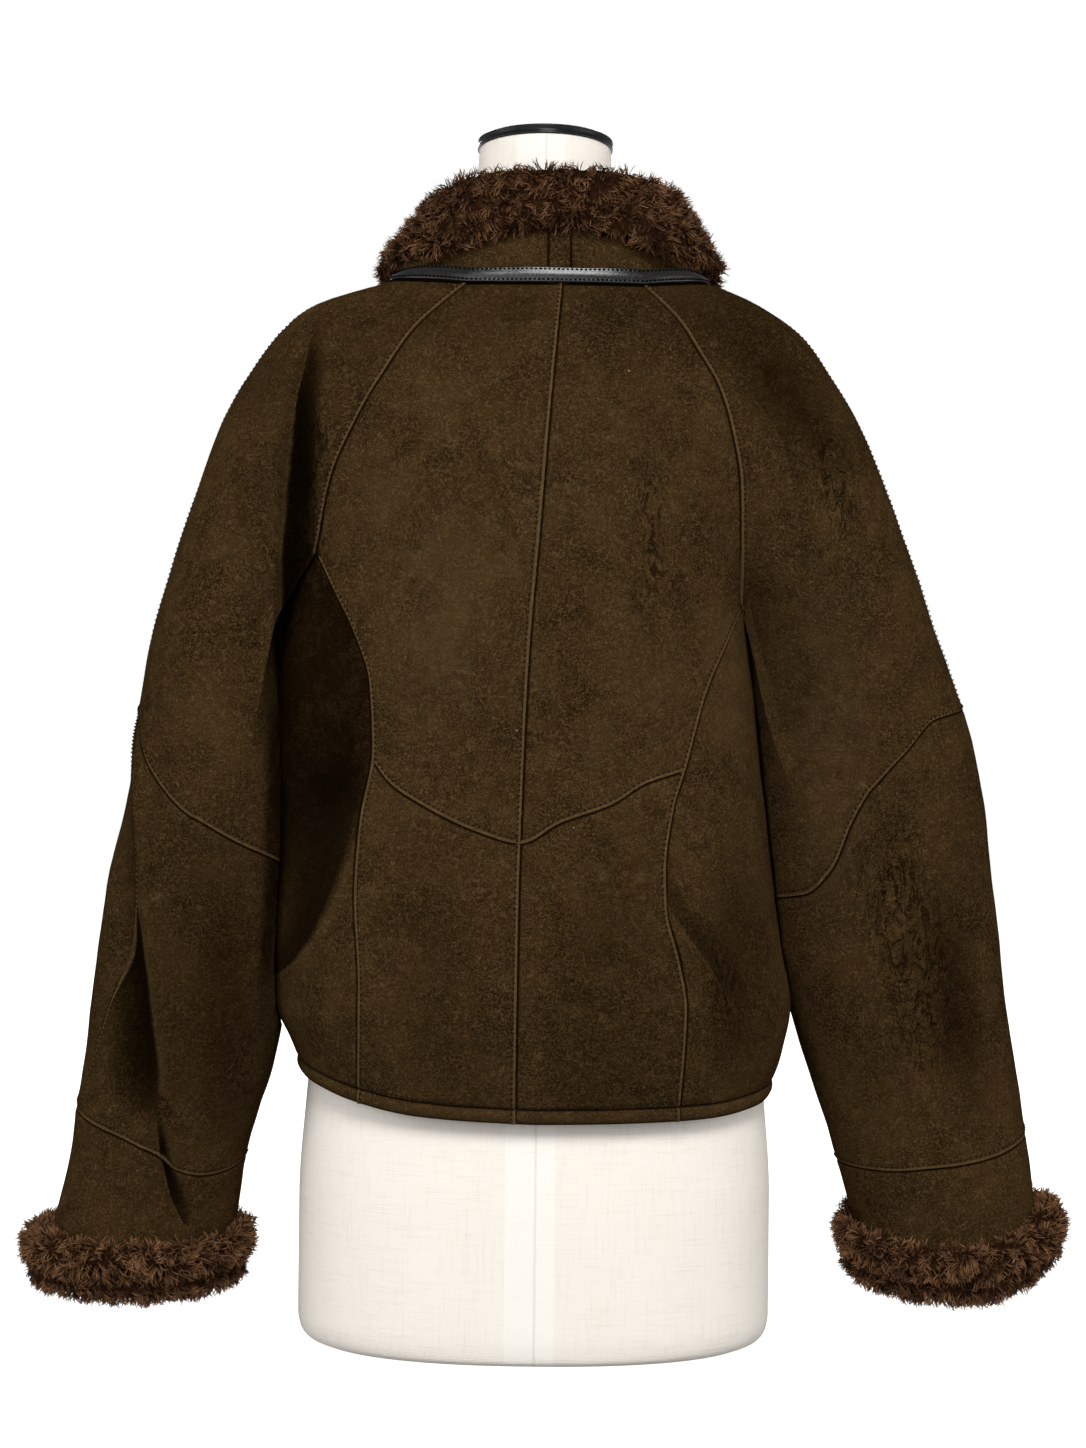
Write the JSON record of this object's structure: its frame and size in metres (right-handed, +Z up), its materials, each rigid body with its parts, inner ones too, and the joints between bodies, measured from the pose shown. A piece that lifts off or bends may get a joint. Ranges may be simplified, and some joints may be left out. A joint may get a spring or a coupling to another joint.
{
  "type": "shearling jacket on a dress form",
  "caption": "Loose raglan-sleeved suede shearling jacket with fur collar and turned-back fur cuffs, hung on a limbless linen dress form.",
  "frame": {"origin": "centre of the dress form's flat base", "axes": "+Z up the form, +Y towards the garment's back, +X towards the wearer's left"},
  "size_m": [0.8142, 0.3175, 0.9275],
  "materials": {
    "suede": "matte sueded sheepskin, olive brown, mottled nap",
    "shearling_fur": "curly dark brown wool, soft and matte",
    "strap_leather": "smooth glossy black leather",
    "horn": "polished dark horn",
    "form_linen": "off-white woven linen",
    "black_ring": "smooth black rim"
  },
  "bodies": {
    "root": {"back_upper_left": "suede", "back_upper_right": "suede", "back_lower_left": "suede", "back_lower_right": "suede", "side_left": "suede", "side_right": "suede", "front_left": "suede", "front_right": "suede", "sleeve_back_upper_left": "suede", "sleeve_front_upper_left": "suede", "sleeve_back_lower_left": "suede", "sleeve_front_lower_left": "suede", "cuff_band_left": "suede", "sleeve_back_upper_right": "suede", "sleeve_front_upper_right": "suede", "sleeve_back_lower_right": "suede", "sleeve_front_lower_right": "suede", "cuff_band_right": "suede", "collar_stand_left": "suede", "collar_tab": "suede", "collar_stand_right": "suede", "collar_fur": "shearling_fur", "cuff_fur_left": "shearling_fur", "cuff_fur_right": "shearling_fur", "collar_strap": "strap_leather", "button_1": "horn", "button_2": "horn", "button_3": "horn", "button_4": "horn", "button_5": "horn", "dress_form": "form_linen", "neck_cap": "black_ring"}
  },
  "joints": []
}
